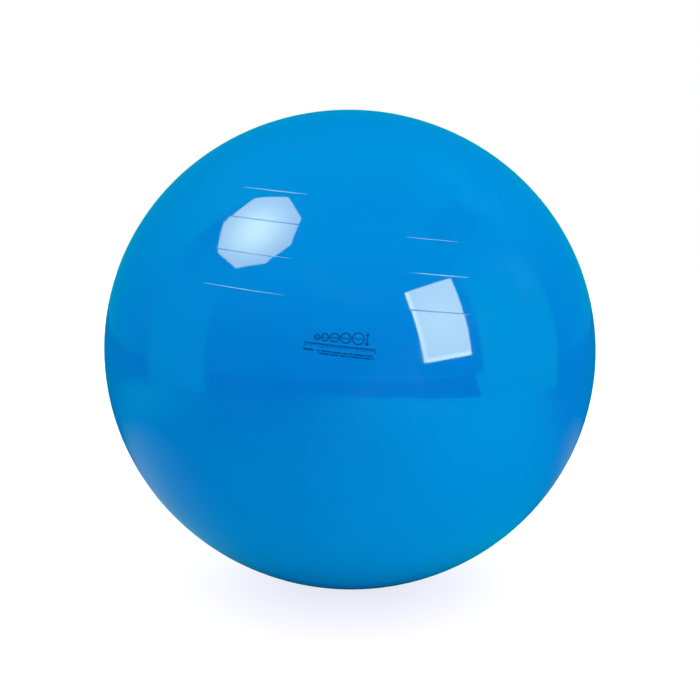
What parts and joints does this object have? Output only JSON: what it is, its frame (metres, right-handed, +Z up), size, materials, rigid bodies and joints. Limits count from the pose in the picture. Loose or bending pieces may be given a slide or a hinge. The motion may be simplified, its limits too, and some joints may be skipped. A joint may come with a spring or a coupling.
{
  "type": "exercise ball",
  "caption": "Large inflatable exercise ball: a hollow glossy vinyl skin with raised moulded rings, a moulded-in valve seat and a push-in plug that pulls out.",
  "frame": {"origin": "on the floor, under the middle of the ball as it stands", "axes": "+Z up, +X to the right as the ball is seen from the front, where its valve axis leans to, +Y away from the viewer"},
  "size_m": [0.9497, 0.9502, 0.9228],
  "materials": {
    "skin": "high gloss soft vinyl",
    "seat": "satin soft vinyl",
    "plug": "satin moulded"
  },
  "bodies": {
    "ball": {"ball_shell": "skin", "valve_seat": "seat"},
    "plug": {"valve_plug": "plug"}
  },
  "joints": [
    {"name": "plug_pull", "type": "slide", "parent": "ball", "child": "plug", "axis": [0.108, 0, 0.9942], "range_m": [0, 0.032]}
  ]
}
